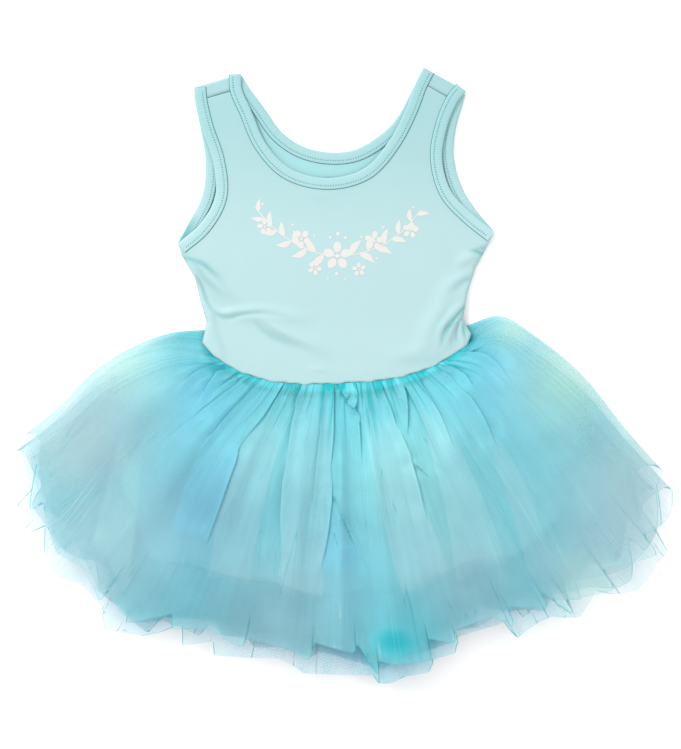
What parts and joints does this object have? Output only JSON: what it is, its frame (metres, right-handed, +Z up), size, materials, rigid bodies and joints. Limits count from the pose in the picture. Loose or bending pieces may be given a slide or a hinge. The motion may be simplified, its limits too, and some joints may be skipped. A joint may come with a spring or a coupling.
{
  "type": "ballet dress",
  "caption": "Child's sleeveless ballet dress laid flat: jersey bodice with bound neck and armholes, and a gathered skirt of tulle tiers over a short lining.",
  "frame": {"origin": "middle of the laid dress on the surface that it lies on", "axes": "+Z up from the surface through the dress's front, +Y towards the shoulders, +X across to the dress's left side, which is on the right seen from above"},
  "size_m": [0.5947, 0.553, 0.0454],
  "materials": {
    "bodice_jersey": "fine smooth cotton jersey, pale aqua",
    "band_jersey": "folded jersey binding with a coverstitch, pale aqua",
    "tulle_aqua": "soft fine net, mint aqua",
    "tulle_sky": "soft fine net, sky blue",
    "tulle_lavender": "soft fine net, lavender blue",
    "lining_jersey": "plain smooth jersey lining, very pale aqua"
  },
  "bodies": {
    "root": {"front_panel": "bodice_jersey", "back_panel": "bodice_jersey", "neck_band_front": "band_jersey", "neck_band_back": "band_jersey", "arm_band_left_front": "band_jersey", "arm_band_left_back": "band_jersey", "arm_band_right_front": "band_jersey", "arm_band_right_back": "band_jersey", "tulle_outer": "tulle_aqua", "tulle_middle": "tulle_sky", "tulle_inner": "tulle_lavender", "skirt_lining": "lining_jersey"}
  },
  "joints": []
}
